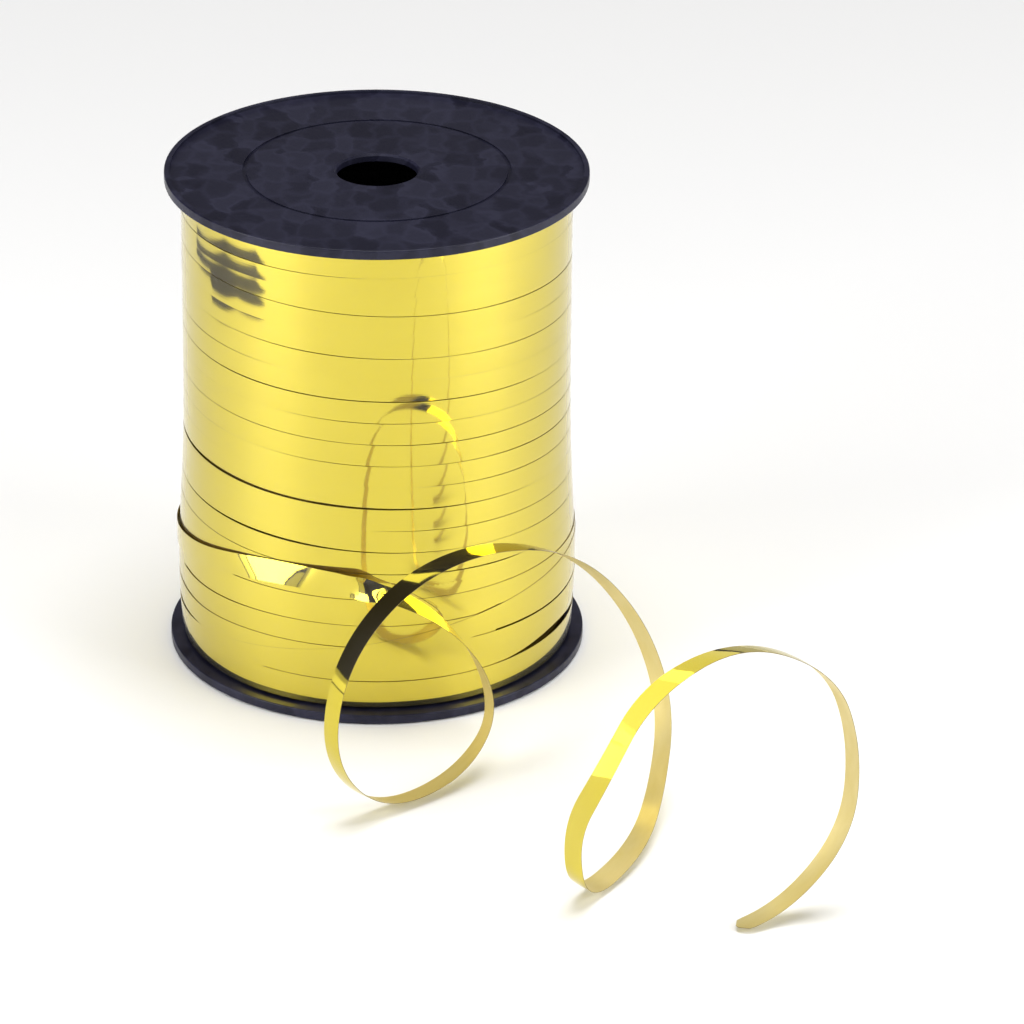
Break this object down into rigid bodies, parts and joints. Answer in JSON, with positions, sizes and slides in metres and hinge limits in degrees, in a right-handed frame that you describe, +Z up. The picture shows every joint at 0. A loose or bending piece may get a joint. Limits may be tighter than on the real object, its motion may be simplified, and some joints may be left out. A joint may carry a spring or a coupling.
{
  "type": "curling ribbon spool",
  "caption": "Flanged spool wound with shiny metallic curling ribbon for balloons and gifts, with a central spindle bore and a curled loose end.",
  "frame": {"origin": "centre of the rim that the spool stands on", "axes": "+Z up the spool's axis; -Y towards the side where the ribbon lifts off, and the loose end lies on the table towards -Y and +X"},
  "size_m": [0.1464, 0.1941, 0.114],
  "materials": {
    "flange_plastic": "navy black moulded polystyrene, satin face with a faint moulded pattern",
    "paperboard": "spiral wound grey-brown paperboard",
    "tape_film": "clear adhesive tape",
    "gold_ribbon": "mirror-bright gold metallised polypropylene film"
  },
  "bodies": {
    "spool": {"top_flange": "flange_plastic", "bottom_flange": "flange_plastic", "core_tube": "paperboard", "start_tape": "tape_film", "wound_ribbon": "gold_ribbon", "outer_turns": "gold_ribbon"},
    "loose_ribbon": {"last_turn": "gold_ribbon", "loose_tail": "gold_ribbon"}
  },
  "joints": [
    {"name": "unwind", "type": "hinge", "parent": "spool", "child": "loose_ribbon", "pos_m": [0, 0, 0.0336], "axis": [0, 0, 1], "continuous": true}
  ]
}
